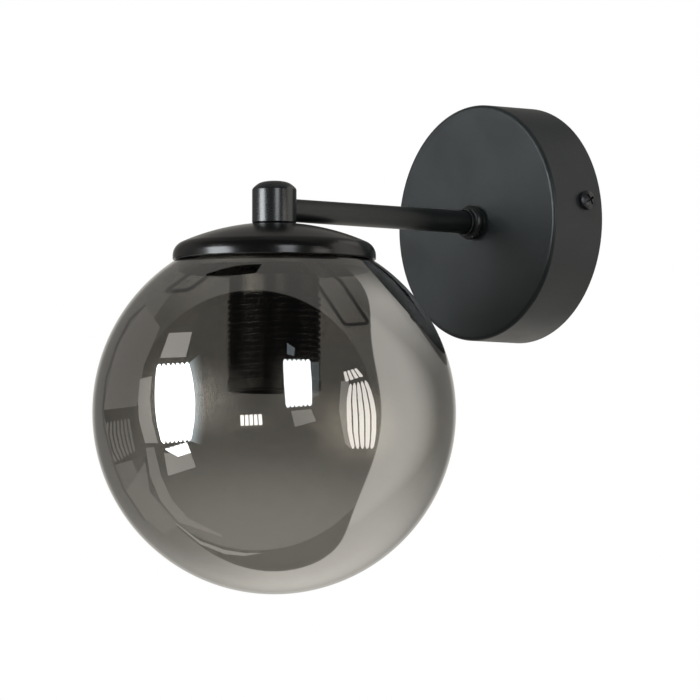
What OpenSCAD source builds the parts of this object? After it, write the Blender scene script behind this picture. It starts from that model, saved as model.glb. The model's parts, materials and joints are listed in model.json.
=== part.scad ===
// Wall light with a smoked glass globe hung under a short arm.
// Millimetres. The wall is the plane y = 0, the arm runs along -Y at z = 0, +Z is up.

/* [Canopy] */
// Outside diameter of the round canopy on the wall
canopy_d = 100; // [94:1:120]
// Depth of the canopy, wall to front face
canopy_depth = 27; // [26:1:36]
// Thickness of the canopy's sheet
canopy_sheet = 1.2; // [1:0.1:1.5]
// Outside rounding of the canopy's front edge
canopy_edge_r = 1.6; // [1.6:0.1:3]
// Turn of the two side screws above the horizontal, in degrees
side_screw_turn = 8.5; // [0:0.5:20]
// Distance of the side screws from the wall
side_screw_out = 8.8; // [8:0.1:11]

/* [Wall plate] */
// Thickness of the plate screwed to the wall
plate_t = 1.5; // [1.2:0.1:2]
// Gap between the plate's edge and the inside of the canopy
plate_edge_gap = 6.5; // [5:0.5:9]
// Centre distance of the two wall slots
slot_spacing = 60; // [54:1:64]
// End-to-end length of a wall slot
slot_length = 14; // [10:1:16]
// Width of a wall slot
slot_width = 5; // [4:0.5:6]
// Diameter of the hole that the house cable comes through
cable_hole_d = 18; // [14:1:22]
// Width of the two ears that hold the side screws
ear_width = 12; // [10:0.5:13]
// Gap between an ear and the inside of the canopy
ear_gap = 1.2; // [1.2:0.1:1.6]

/* [Arm] */
// Outside diameter of the arm tube
arm_d = 9.6; // [9.6:0.1:10]
// Wall of the arm tube
arm_wall = 1.2; // [0.8:0.1:1.4]
// Canopy front to the axis of the arm's head
arm_reach = 111; // [80:1:160]
// Largest diameter of the collar at the canopy
collar_d = 14.6; // [14:0.2:18]
// Thickness of the collar along the arm
collar_t = 6.6; // [6:0.2:9]

/* [Head] */
// Diameter of the upright head at the arm's end
head_d = 18.4; // [17.6:0.2:22]
// Top of the head above the arm's axis
head_above = 11.8; // [10:0.2:16]
// Bottom of the head below the arm's axis
head_below = 5.8; // [5.8:0.1:8]
// Width of the chamfer round the head's top
head_chamfer = 3; // [1:0.1:4]
// Outside diameter of the hollow threaded nipple
nipple_d = 9.8; // [9.6:0.1:10]
// Bore of the nipple for the leads
nipple_bore = 7; // [6.6:0.1:7.4]

/* [Cap] */
// Outside diameter of the cap over the glass
cap_d = 84; // [83.6:0.1:86]
// Radius of the cap's shallow dome
cap_dome_r = 95; // [90:1:110]
// Radius of the cap's shoulder
cap_shoulder_r = 6; // [5.6:0.1:7]
// Straight part of the cap's rim under the shoulder
cap_skirt = 1.5; // [1:0.1:3]
// Thickness of the cap's sheet
cap_sheet = 1.2; // [0.8:0.1:1.3]

/* [Globe] */
// Outside diameter of the glass globe
globe_d = 150; // [130:1:200]
// Glass thickness
glass_t = 2.2; // [2:0.1:3]
// Diameter of the mouth at the top of the globe
mouth_d = 80; // [79.6:0.1:80.4]
// Width of the flat ground round the mouth
mouth_land = 0.54; // [0.4:0.02:0.7]

/* [Glass clips] */
// Diameter of the spring wire
wire_d = 1.5; // [1.2:0.1:1.8]
// Distance between the two legs of a clip
clip_width = 15.4; // [14:0.2:18]
// Length of a leg from its clamp to its bend
clip_upper = 20.3; // [18:0.1:22]
// Gap that the front clip's end bar leaves to the glass
clip_glass_gap = 2.1; // [1:0.1:3.4]
// Slope of the front clip below the horizontal, in degrees
front_clip_angle = 18; // [17:0.5:30]
// Slope of the rear clip below the horizontal, in degrees
rear_clip_angle = 32; // [20:0.5:34]
// Further slope below the bend of a leg, in degrees
clip_bend = 15.5; // [8:0.5:20]

/* [Lampholder] */
// Diameter over the thread of the lampholder's skirt
skirt_d = 38.8; // [38:0.1:40]
// Pitch of the skirt's thread
skirt_thread_rise = 2.45; // [2:0.05:3]
// Overall length of the lampholder
holder_length = 55.7; // [54:0.1:60]
// Length of the plain band at the skirt's mouth
skirt_band = 4.5; // [3:0.1:6]
// Inside diameter over the crests of the screw shell
shell_minor_d = 24.4; // [24.2:0.1:24.6]
// Depth of the screw shell's rolled thread
shell_thread_depth = 1; // [0.8:0.05:1.1]
// Pitch of the screw shell's rolled thread
shell_thread_rise = 3.62; // [3.4:0.02:3.8]

/* [Hidden] */
$fn = 96;

// Radial gap between a thread and its hole, and between pieces that push together
thread_gap = 0.05;
push_gap = 0.1;
// Overrun of every cut
cut = 1;

// Canopy and its screws
canopy_r = canopy_d / 2;
canopy_in_r = canopy_r - canopy_sheet;
canopy_hole_gap = 0.25;
screw_r = 2;
screw_head_r = 4;
screw_head_h = 3.1;
screw_dome_r = 6.6;
screw_length = 8;
cross_width = 0.9;
cross_length = 4.8;
cross_depth = 1.7;
cross_turn = 28;

// Wall plate
plate_r = canopy_in_r - plate_edge_gap;
ear_face = canopy_in_r - ear_gap;
earth_x = -24;
earth_z = -17;
earth_run = norm([earth_x, earth_z]);
earth_turn = atan2(earth_z, earth_x);
tag_t = 0.8;
tag_r = 4.4;
tag_sleeve_r = 1.7;
tag_sleeve_h = 5;
tag_width = 3;
tag_end_gap = 0.2;

// Terminal block on the plate
block_w = 20;
block_h = 16;
block_t = 14;
block_z = -25;
pole_x = 5;
pole_out = plate_t + block_t / 2;
barrel_r = 2.3;
barrel_bore_r = 1.5;
barrel_h = 12;
clamp_screw_r = 1.2;
clamp_head_r = 1.5;
clamp_head_h = 2;
clamp_spacing = 7;
slot_cut = 0.6;
block_screw_r = 1.5;
block_head_r = 2.7;
block_head_h = 1.8;
block_recess = 3.5;

// Arm, its collar and its nut
arm_r = arm_d / 2;
arm_in_r = arm_r - arm_wall;
collar_r = collar_d / 2;
collar_base_r = 6.4;
collar_face_r = 5.95;
collar_lip = 0.35;
collar_recess = 1.1;
collar_belly_share = 0.42;
collar_round_share = 0.34;
grub_r = 1.5;
grub_h = 2.2;
grub_key_r = 0.8;
grub_turn = 22;
washer_t = 1;
washer_r = 8;
washer_teeth = 8;
washer_notch = 1.4;
nut_flat = 14;
nut_t = 2.6;
nut_corner_r = nut_flat / 2 / cos(30);
arm_tail = 2.4;
arm_tag_out = canopy_depth - canopy_sheet - tag_t;
arm_washer_out = arm_tag_out - washer_t;
arm_nut_out = arm_washer_out - nut_t;
arm_in = arm_nut_out - arm_tail;
head_out = canopy_depth + arm_reach;
arm_end_gap = 0.4;
arm_out = head_out - nipple_d / 2 - arm_end_gap;

// Head and nipple
head_r = head_d / 2;
nipple_r = nipple_d / 2;
nipple_top = -2.6;
head_well = arm_r + thread_gap;
head_soft = 0.8;
head_foot_soft = 0.4;

// Cap
cap_r = cap_d / 2;
cap_top = -head_below;
cap_land_r = 6.2;
cap_apex = cap_top + cap_dome_r - sqrt(pow(cap_dome_r, 2) - pow(cap_land_r, 2));
shoulder_x = cap_r - cap_shoulder_r;
shoulder_z = cap_apex - cap_dome_r
    + sqrt(pow(cap_dome_r - cap_shoulder_r, 2) - pow(shoulder_x, 2));
cap_rim = shoulder_z - cap_skirt;
cap_in_land_r = washer_r + push_gap;
cap_under = cap_apex - cap_dome_r
    + sqrt(pow(cap_dome_r - cap_sheet, 2) - pow(cap_in_land_r, 2));

// Pieces that the nipple clamps under the cap
carrier_rise = 3.2;
carrier_t = 1.2;
carrier_top = shoulder_z + carrier_rise;
carrier_under = carrier_top - carrier_t;
carrier_corner_r = 2;
sleeve_gap = 0.5;
sleeve_r = mouth_d / 2 - sleeve_gap;
sleeve_below = 4.6;
sleeve_foot = cap_rim - sleeve_below;
cap_nut_top = cap_under - washer_t;
carrier_nut_top = carrier_top + nut_t;

// Globe
globe_r = globe_d / 2;
globe_in_r = globe_r - glass_t;
mouth_r = mouth_d / 2;
land_below_rim = 0.2;
globe_top = cap_rim - land_below_rim;
globe_z = globe_top - sqrt(pow(globe_r, 2) - pow(mouth_r + mouth_land, 2));

// Gasket in the cap's rim
gasket_h = 2.6;
gasket_gap = 0.2;
gasket_in_r = sleeve_r + gasket_gap;
gasket_out_r = cap_r - cap_sheet - gasket_gap;

// Spring clips, their clamps and rivets
wire_r = wire_d / 2;
clamp_t = 1;
clamp_near = 8.4;
clamp_length = 3.8;
bend_room = 0.6;
clamp_margin = 2.5;
clamp_width = clip_width + wire_d + 2 * clamp_margin;
tail_start = 7.2;
tail_end = clamp_near + clamp_length + bend_room;
tail_z = carrier_under - wire_r;
rivet_r = 1.4;
rivet_head_r = 2.2;
rivet_head_h = 0.9;
rivet_x = 3.6;
knee_r = 4;
corner_r = 2;
wire_sides = 12;

// Lampholder: the dome's outline has its radii and heights as shares of the dome's own
holder_top = carrier_under - nut_t;
holder_foot = holder_top - holder_length;
skirt_r = skirt_d / 2;
thread_depth = 0.8;
dome_r = skirt_r - thread_depth;
dome_h = 15;
dome_wall = 1.8;
dome_outline_shares = [[0.43, 0.1], [0.656, 0.14], [0.817, 0.413], [0.909, 0.48], [0.975, 0.525]];
dome_foot = holder_top - dome_h;
neck_edge = 0.4;
neck_bore_h = 5;
boss_wall = 1.6;
thread_start = 0.5;
thread_root_share = 0.3;
thread_crest_share = 0.2;
skirt_wall = 1.7;
skirt_in_r = dome_r - skirt_wall;
skirt_edge = 0.8;
spigot_gap = 0.2;
spigot_h = 5.4;
spigot_wall = 1.5;
spigot_r = dome_r - dome_wall - spigot_gap;
insert_r = spigot_r - spigot_wall - push_gap;
insert_drop = 10.4;
insert_top = holder_top - insert_drop;
insert_h = 9.4;
insert_foot = insert_top - insert_h;
ledge_t = 1.5;
shell_wall = 0.5;
shell_turns = 5;
shell_collar = 3.2;
shell_lip = 0.8;
shell_crest_share = 0.28;
shell_flank_share = 0.22;
shell_minor_r = shell_minor_d / 2;
shell_major_r = shell_minor_r + shell_thread_depth;
shell_flange_r = 9;
ledge_r = shell_major_r + shell_wall + spigot_gap;
rivet_pin_r = 1.2;
rivet_foot_r = 1.8;
rivet_foot_h = 0.8;
shell_rivet_x = (shell_flange_r + shell_major_r) / 2;
contact_t = 0.5;
contact_w = 6;
contact_rivet_x = 6;
contact_end = 8.2;
contact_knee = 3.4;
contact_tongue = 3.6;
contact_drop = 2.4;
lug_x = 9;
lug_size = [5, 6, 4];
lug_screw_r = 1.2;
lug_head_r = 1.9;
lug_head_h = 1.4;

// Leads
lead_r = 1;
lead_hole_r = 1.15;
lead_sides = 8;
lead_x = 1.4;
lead_bend = 3;
lead_side = [1, 0, 0];

// A piece turned about the arm's axis, at a distance out from the wall
module from_wall(out = 0) translate([0, -out, 0]) rotate([90, 0, 0]) children();
// A piece on the upright axis of the head
module on_head(z = 0) translate([0, -head_out, z]) children();
// A piece on the rim of the canopy, pointing outwards
module on_rim(turn, out) from_wall(out) rotate([0, 0, turn]) rotate([0, 90, 0]) children();

// Points of an arc about c, from angle a to angle b
function arc(c, r, a, b, n = 8) =
    [for (i = [0:n]) c + r * [cos(a + (b - a) * i / n), sin(a + (b - a) * i / n)]];
function unit(v) = v / norm(v);
// Replaces each inner corner of a path with an arc of radius r in n steps
function rounded(p, r, n = 6) = [
    for (i = [0:len(p) - 1])
        if (i == 0 || i == len(p) - 1) p[i]
        else
            let (
                u = unit(p[i - 1] - p[i]),
                v = unit(p[i + 1] - p[i]),
                half = acos(u * v) / 2,
                c = p[i] + unit(u + v) * r / sin(half),
                a = p[i] + u * r / tan(half) - c,
                b = p[i] + v * r / tan(half) - c,
                sweep = 180 - 2 * half
            )
            for (k = [0:n]) c + (a * sin(sweep * (1 - k / n)) + b * sin(sweep * k / n)) / sin(sweep)
];
function heading(p, i) =
    unit(unit(p[min(i + 1, len(p) - 1)] - p[min(i, len(p) - 2)])
        + unit(p[max(i, 1)] - p[max(i - 1, 0)]));
function square_to(n, t) = unit(n - t * (n * t));
// One unbroken round tube along the points p, with s sides
module tube(p, r, s, side) {
    t = [for (i = [0:len(p) - 1]) heading(p, i)];
    n = [for (i = 0, v = square_to(side, t[0]); i < len(p);
        i = i + 1, v = i < len(p) ? square_to(v, t[i]) : v) v];
    rings = [for (i = [0:len(p) - 1], k = [0:s - 1])
        p[i] + r * (cos(360 * k / s) * n[i] + sin(360 * k / s) * cross(t[i], n[i]))];
    last = (len(p) - 1) * s;
    walls = [for (i = [0:len(p) - 2], k = [0:s - 1])
        let (a = i * s + k, b = i * s + (k + 1) % s)
        each [[a, b + s, b], [a, a + s, b + s]]];
    ends = [for (k = [1:s - 2]) each [[0, k, k + 1], [last, last + k + 1, last + k]]];
    polyhedron(rings, concat(walls, ends));
}

// A ring about the local axis, from z = 0 upwards
module ring(out_r, in_r, h) difference() {
    cylinder(r = out_r, h = h);
    translate([0, 0, -cut]) cylinder(r = in_r, h = h + 2 * cut);
}
// A pan head screw with its head's seat at z = 0 and its shank down -Z
module pan_screw(shank_r, length) {
    difference() {
        intersection() {
            cylinder(r = screw_head_r, h = screw_head_h);
            translate([0, 0, screw_head_h - screw_dome_r]) sphere(r = screw_dome_r);
        }
        for (a = [0, 90]) rotate([0, 0, a])
            translate([-cross_length / 2, -cross_width / 2, screw_head_h - cross_depth])
                cube([cross_length, cross_width, cross_depth + cut]);
    }
    translate([0, 0, -length]) cylinder(r = shank_r, h = length + screw_head_h / 4);
}
// A hexagon nut from z = 0 upwards, with its corners turned off
module hex_nut(bore_r) difference() {
    intersection() {
        cylinder(r = nut_corner_r, h = nut_t, $fn = 6);
        rotate_extrude() polygon([
            [0, 0], [nut_flat / 2, 0], [nut_corner_r, nut_corner_r - nut_flat / 2],
            [nut_corner_r, nut_t - nut_corner_r + nut_flat / 2], [nut_flat / 2, nut_t], [0, nut_t]
        ]);
    }
    translate([0, 0, -cut]) cylinder(r = bore_r, h = nut_t + 2 * cut);
}

module canopy_cup() color([0.23, 0.25, 0.25]) difference() {
    from_wall() difference() {
        rotate_extrude() {
            square([canopy_r - canopy_edge_r, canopy_depth]);
            square([canopy_r, canopy_depth - canopy_edge_r]);
            translate([canopy_r - canopy_edge_r, canopy_depth - canopy_edge_r])
                circle(r = canopy_edge_r);
        }
        translate([0, 0, -cut]) cylinder(r = canopy_in_r, h = canopy_depth - canopy_sheet + cut);
        cylinder(r = arm_r + push_gap, h = canopy_depth + cut);
    }
    for (turn = [0, 180]) on_rim(side_screw_turn + turn, side_screw_out)
        translate([0, 0, canopy_in_r - cut])
            cylinder(r = screw_r + canopy_hole_gap, h = canopy_sheet + 2 * cut);
}

module canopy_screws() color([0.13, 0.13, 0.14])
    for (turn = [0, 180]) on_rim(side_screw_turn + turn, side_screw_out)
        translate([0, 0, canopy_r]) rotate([0, 0, cross_turn]) pan_screw(screw_r, screw_length);

// The zinc plate: a disc with two slots, the cable hole and two bent ears
module wall_plate() color([0.68, 0.69, 0.71]) difference() {
    union() {
        from_wall() cylinder(r = plate_r, h = plate_t);
        for (turn = [0, 180]) {
            from_wall() rotate([0, 0, side_screw_turn + turn])
                translate([0, -ear_width / 2, 0]) cube([ear_face, ear_width, plate_t]);
            on_rim(side_screw_turn + turn, side_screw_out)
                translate([0, 0, ear_face - plate_t]) linear_extrude(plate_t) {
                    circle(d = ear_width);
                    translate([0, -ear_width / 2]) square([side_screw_out, ear_width]);
                }
        }
    }
    from_wall(-cut) {
        cylinder(d = cable_hole_d, h = plate_t + 2 * cut);
        for (side = [-1, 1]) translate([side * slot_spacing / 2, 0, 0]) {
            for (end = [-1, 1]) translate([end * (slot_length - slot_width) / 2, 0, 0])
                cylinder(d = slot_width, h = plate_t + 2 * cut);
            translate([-(slot_length - slot_width) / 2, -slot_width / 2, 0])
                cube([slot_length - slot_width, slot_width, plate_t + 2 * cut]);
        }
        translate([earth_x, earth_z, 0])
            cylinder(r = screw_r + thread_gap, h = plate_t + 2 * cut);
        translate([0, block_z, 0])
            cylinder(r = block_screw_r + thread_gap, h = plate_t + 2 * cut);
    }
    for (turn = [0, 180]) on_rim(side_screw_turn + turn, side_screw_out)
        translate([0, 0, ear_face - plate_t - cut])
            cylinder(r = screw_r + thread_gap, h = plate_t + 2 * cut);
}

module earth_screw() color([0.72, 0.62, 0.33])
    from_wall(plate_t + tag_t) translate([earth_x, earth_z, 0])
        pan_screw(screw_r, plate_t + tag_t - tag_end_gap);

// Ring tags with crimped sleeves at both ends of the earth lead
module ring_tag(out_r, in_r, flip) {
    difference() {
        union() {
            cylinder(r = out_r, h = tag_t);
            translate([0, -tag_width / 2, 0])
                cube([out_r + tag_sleeve_h / 2, tag_width, tag_t]);
            translate([out_r, 0, flip ? tag_t - tag_sleeve_r : tag_sleeve_r])
                rotate([0, 90, 0]) cylinder(r = tag_sleeve_r, h = tag_sleeve_h);
        }
        translate([0, 0, -cut]) cylinder(r = in_r, h = tag_t + 2 * cut);
        translate([out_r + tag_t, 0, flip ? tag_t - tag_sleeve_r : tag_sleeve_r])
            rotate([0, 90, 0]) cylinder(r = lead_hole_r, h = tag_sleeve_h);
    }
}
module earth_tags() color([0.75, 0.76, 0.78]) {
    from_wall(arm_tag_out) rotate([0, 0, earth_turn])
        ring_tag(washer_r, arm_r + push_gap, true);
    from_wall(plate_t) rotate([0, 0, earth_turn]) translate([earth_run, 0, 0])
        rotate([0, 0, 180]) ring_tag(tag_r, screw_r + push_gap, false);
}
module earth_lead() color([0.45, 0.62, 0.16]) from_wall() rotate([0, 0, earth_turn]) {
    high = arm_tag_out + tag_t - tag_sleeve_r;
    low = plate_t + tag_sleeve_r;
    near = washer_r + 2 * tag_t;
    far = earth_run - tag_r - 2 * tag_t;
    drop = (washer_r + tag_sleeve_h + far - tag_sleeve_h + tag_t) / 2;
    tube(rounded([[near, 0, high], [drop, 0, high], [drop, 0, low], [far, 0, low]],
        lead_r + tag_t), lead_r, lead_sides, [0, 1, 0]);
}

module at_poles() for (side = [-1, 1]) translate([side * pole_x, block_z, 0]) children();
module at_clamps() at_poles() for (end = [-1, 1])
    translate([0, end * clamp_spacing / 2, 0]) children();
module terminal_block() color([0.9, 0.9, 0.87]) from_wall() difference() {
    translate([-block_w / 2, block_z - block_h / 2, plate_t]) cube([block_w, block_h, block_t]);
    at_poles() translate([0, -block_h / 2 - cut, pole_out]) rotate([-90, 0, 0])
        cylinder(r = barrel_r + push_gap, h = block_h + 2 * cut);
    at_clamps() translate([0, 0, pole_out])
        cylinder(r = clamp_head_r + push_gap, h = block_t);
    translate([0, block_z, plate_t - cut])
        cylinder(r = block_screw_r + push_gap, h = block_t + 2 * cut);
    translate([0, block_z, plate_t + block_t - block_recess])
        cylinder(r = block_head_r + push_gap, h = block_recess + cut);
}
module terminal_barrels() color([0.8, 0.66, 0.3]) from_wall() difference() {
    at_poles() translate([0, -barrel_h / 2, pole_out]) rotate([-90, 0, 0])
        ring(barrel_r, barrel_bore_r, barrel_h);
    at_clamps() translate([0, 0, pole_out])
        cylinder(r = clamp_screw_r + thread_gap, h = block_t);
}
// A cheese head screw with its head's seat at z = 0 and its shank down -Z
module slotted_screw(shank_r, head_r, head_h, length) difference() {
    union() {
        cylinder(r = head_r, h = head_h);
        translate([0, 0, -length]) cylinder(r = shank_r, h = length + head_h / 2);
    }
    translate([-head_r - cut, -slot_cut / 2, head_h / 2])
        cube([2 * (head_r + cut), slot_cut, head_h]);
}
module terminal_screws() color([0.78, 0.76, 0.7]) from_wall() at_clamps() {
    seat = pole_out + barrel_r + push_gap;
    translate([0, 0, seat])
        slotted_screw(clamp_screw_r, clamp_head_r, clamp_head_h,
            seat - pole_out - lead_r - push_gap);
}
module block_screw() color([0.7, 0.71, 0.73])
    from_wall(plate_t + block_t - block_recess) translate([0, block_z, 0])
        slotted_screw(block_screw_r, block_head_r, block_head_h,
            plate_t + block_t - block_recess - tag_end_gap);

// One lead: up out of its barrel, along the arm, down the nipple and out to its lug
module mains_lead(side) {
    rise = block_z + block_h / 2;
    lug_z = insert_top + lug_size[2] / 2;
    route = [
        [side * pole_x, -pole_out, block_z],
        [side * pole_x, -pole_out, rise / 3],
        [side * lead_x, -(pole_out + arm_in) / 2, 0],
        [side * lead_x, -head_out, 0],
        [side * lead_x, -head_out, lug_z],
        [side * lug_x, -head_out, lug_z]
    ];
    tube(rounded(route, lead_bend), lead_r, lead_sides, lead_side);
}
module live_lead() color([0.45, 0.27, 0.14]) mains_lead(1);
module neutral_lead() color([0.16, 0.3, 0.6]) mains_lead(-1);

module arm_tube() color([0.19, 0.2, 0.2])
    from_wall(arm_in) ring(arm_r, arm_in_r, arm_out - arm_in);
// The collar: a waisted foot, a round belly and a thin bright lip round a countersink
module arm_collar() color([0.13, 0.14, 0.14]) difference() {
    belly = collar_t * collar_belly_share;
    round_r = collar_t * collar_round_share;
    from_wall(canopy_depth) rotate_extrude() polygon(concat(
        [[arm_r + push_gap, 0], [collar_base_r, 0]],
        arc([collar_r - round_r, belly], round_r, -60, 75),
        [[collar_face_r, collar_t - collar_lip], [collar_face_r - collar_lip, collar_t],
            [collar_face_r - 2 * collar_lip, collar_t],
            [arm_r + push_gap, collar_t - collar_recess]]
    ));
    collar_side_hole(collar_r);
}
module collar_side_hole(h) from_wall(canopy_depth + collar_t * collar_belly_share)
    rotate([0, 0, -90 + grub_turn]) rotate([0, 90, 0])
        translate([0, 0, arm_r]) cylinder(r = grub_r + thread_gap, h = h);
module collar_grub_screw() color([0.25, 0.25, 0.26])
    from_wall(canopy_depth + collar_t * collar_belly_share)
        rotate([0, 0, -90 + grub_turn]) rotate([0, 90, 0])
            translate([0, 0, arm_r + push_gap]) difference() {
                cylinder(r = grub_r, h = grub_h);
                translate([0, 0, grub_h / 2]) cylinder(r = grub_key_r, h = grub_h, $fn = 6);
            }
module lock_washer(bore_r) difference() {
    ring(washer_r, bore_r, washer_t);
    for (a = [0:360 / washer_teeth:359]) rotate([0, 0, a])
        translate([washer_r - washer_notch, -washer_notch / 2, -cut])
            cube([washer_notch + cut, washer_notch, washer_t + 2 * cut]);
}
module arm_lock_washer() color([0.7, 0.71, 0.73])
    from_wall(arm_washer_out) lock_washer(arm_r + push_gap);
module arm_nut() color([0.72, 0.73, 0.75]) from_wall(arm_nut_out) hex_nut(arm_r + thread_gap);

module arm_head() color([0.16, 0.17, 0.18]) difference() {
    on_head() rotate_extrude() polygon(concat(
        [[0, -head_below], [head_r - head_foot_soft, -head_below]],
        [[head_r, head_foot_soft - head_below]],
        arc([head_r - head_soft, head_above - head_chamfer - head_soft / 2], head_soft, 0, 45),
        arc([head_r - head_chamfer - head_soft / 2, head_above - head_soft], head_soft, 45, 90),
        [[0, head_above]]
    ));
    on_head(-head_below - cut)
        cylinder(r = nipple_r + thread_gap, h = head_below + head_well + cut);
    from_wall(head_out - head_r - cut) cylinder(r = arm_r + thread_gap, h = head_r + cut);
}
module hollow_nipple() color([0.72, 0.73, 0.75])
    on_head(holder_top - neck_bore_h)
        ring(nipple_r, nipple_bore / 2, nipple_top - holder_top + neck_bore_h);

// Half section of the cap, drawn inwards by inset and cut flat at the land
module cap_section(inset, foot, land) intersection() {
    union() {
        translate([0, cap_apex - cap_dome_r]) intersection() {
            circle(r = cap_dome_r - inset, $fn = 720);
            polygon([[0, 0], [0, 2 * cap_dome_r],
                2 * cap_dome_r * unit([shoulder_x, shoulder_z - cap_apex + cap_dome_r])]);
        }
        translate([shoulder_x, shoulder_z]) circle(r = cap_shoulder_r - inset);
        translate([0, foot]) square([shoulder_x, shoulder_z - foot]);
        translate([0, foot]) square([cap_r - inset, shoulder_z - foot]);
    }
    translate([0, foot]) square([cap_r, land - foot]);
}
module cap_dome() color([0.1, 0.1, 0.1]) on_head() difference() {
    rotate_extrude() cap_section(0, cap_rim, cap_top);
    rotate_extrude() cap_section(cap_sheet, cap_rim - cut, cap_under);
    translate([0, 0, cap_under - cut])
        cylinder(r = nipple_r + push_gap, h = cap_top - cap_under + 2 * cut);
}
module cap_lock_washer() color([0.7, 0.71, 0.73])
    on_head(cap_under - washer_t) lock_washer(nipple_r + push_gap);
module nipple_nuts() color([0.72, 0.73, 0.75])
    for (z = [cap_nut_top - nut_t, carrier_top, carrier_under - nut_t])
        on_head(z) hex_nut(nipple_r + thread_gap);

// The pressed dish that carries the clips; its sleeve stands in the mouth of the glass
module clip_carrier() color([0.45, 0.45, 0.45]) on_head() difference() {
    rotate_extrude() {
        translate([0, sleeve_foot])
            square([sleeve_r, carrier_top - carrier_corner_r - sleeve_foot]);
        translate([0, sleeve_foot])
            square([sleeve_r - carrier_corner_r, carrier_top - sleeve_foot]);
        translate([sleeve_r - carrier_corner_r, carrier_top - carrier_corner_r])
            circle(r = carrier_corner_r);
    }
    translate([0, 0, sleeve_foot - cut])
        cylinder(r = sleeve_r - carrier_t, h = carrier_under - sleeve_foot + cut);
    translate([0, 0, carrier_under - cut])
        cylinder(r = nipple_r + push_gap, h = carrier_t + 2 * cut);
    at_rivets() translate([0, 0, carrier_under - cut])
        cylinder(r = rivet_r + thread_gap, h = carrier_t + 2 * cut);
}
module at_clips() for (turn = [-90, 90]) rotate([0, 0, turn]) children();
module at_rivets() at_clips() for (side = [-1, 1])
    translate([clamp_near + clamp_length / 2, side * rivet_x, 0]) children();
module clip_clamps() color([0.66, 0.67, 0.69]) on_head() difference() {
    at_clips() translate([clamp_near, -clamp_width / 2, carrier_under - wire_d - clamp_t])
        cube([clamp_length, clamp_width, wire_d + clamp_t]);
    at_clips() for (side = [-1, 1]) translate([clamp_near - cut, side * clip_width / 2, tail_z])
        rotate([0, 90, 0]) cylinder(r = wire_r + push_gap, h = clamp_length + 2 * cut);
    at_clips() for (side = [-1, 1])
        translate([clamp_near - cut, side * clip_width / 2 - wire_r - push_gap, tail_z])
            cube([clamp_length + 2 * cut, wire_d + 2 * push_gap, wire_d]);
    at_rivets() translate([0, 0, carrier_under - wire_d - clamp_t - cut])
        cylinder(r = rivet_r + thread_gap, h = wire_d + clamp_t + 2 * cut);
}
module clip_rivets() color([0.7, 0.71, 0.73]) on_head() at_rivets() {
    under = carrier_under - wire_d - clamp_t;
    translate([0, 0, under]) cylinder(r = rivet_r, h = carrier_top - under);
    translate([0, 0, under - rivet_head_h]) cylinder(r = rivet_head_r, h = rivet_head_h);
    translate([0, 0, carrier_top]) cylinder(r = rivet_head_r, h = rivet_head_h);
}
// A clip's bend, and its leg's way below the bend
function clip_knee(slope) = [tail_end, 0, tail_z] + clip_upper * [cos(slope), 0, -sin(slope)];
function clip_way(slope) = [cos(slope + clip_bend), 0, -sin(slope + clip_bend)];
// Length below the bend at which the front clip's end bar nears the glass
function clip_lower() =
    let (
        from = clip_knee(front_clip_angle) + [0, clip_width / 2, -globe_z],
        way = clip_way(front_clip_angle),
        reach = globe_in_r - wire_r - clip_glass_gap
    )
    sqrt(pow(from * way, 2) - from * from + pow(reach, 2)) - from * way;
// One clip: two tails under a clamp, two bent legs and the end bar, in one wire
module spring_clip(slope) {
    knee = clip_knee(slope);
    end = knee + clip_lower() * clip_way(slope);
    half = [0, clip_width / 2, 0];
    start = [tail_start, 0, tail_z];
    clamp_end = [tail_end, 0, tail_z];
    leg = [start, clamp_end, knee, end];
    path = concat([for (p = leg) p - half], [for (i = [3:-1:0]) leg[i] + half]);
    tube(rounded(path, corner_r), wire_r, wire_sides, [0, 0, 1]);
}
module front_clip() color([0.3, 0.3, 0.3]) on_head() rotate([0, 0, -90])
    spring_clip(front_clip_angle);
module rear_clip() color([0.3, 0.3, 0.3]) on_head() rotate([0, 0, 90])
    spring_clip(rear_clip_angle);
module rim_gasket() color([0.16, 0.16, 0.16]) on_head(globe_top)
    ring(gasket_out_r, gasket_in_r, gasket_h);

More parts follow.
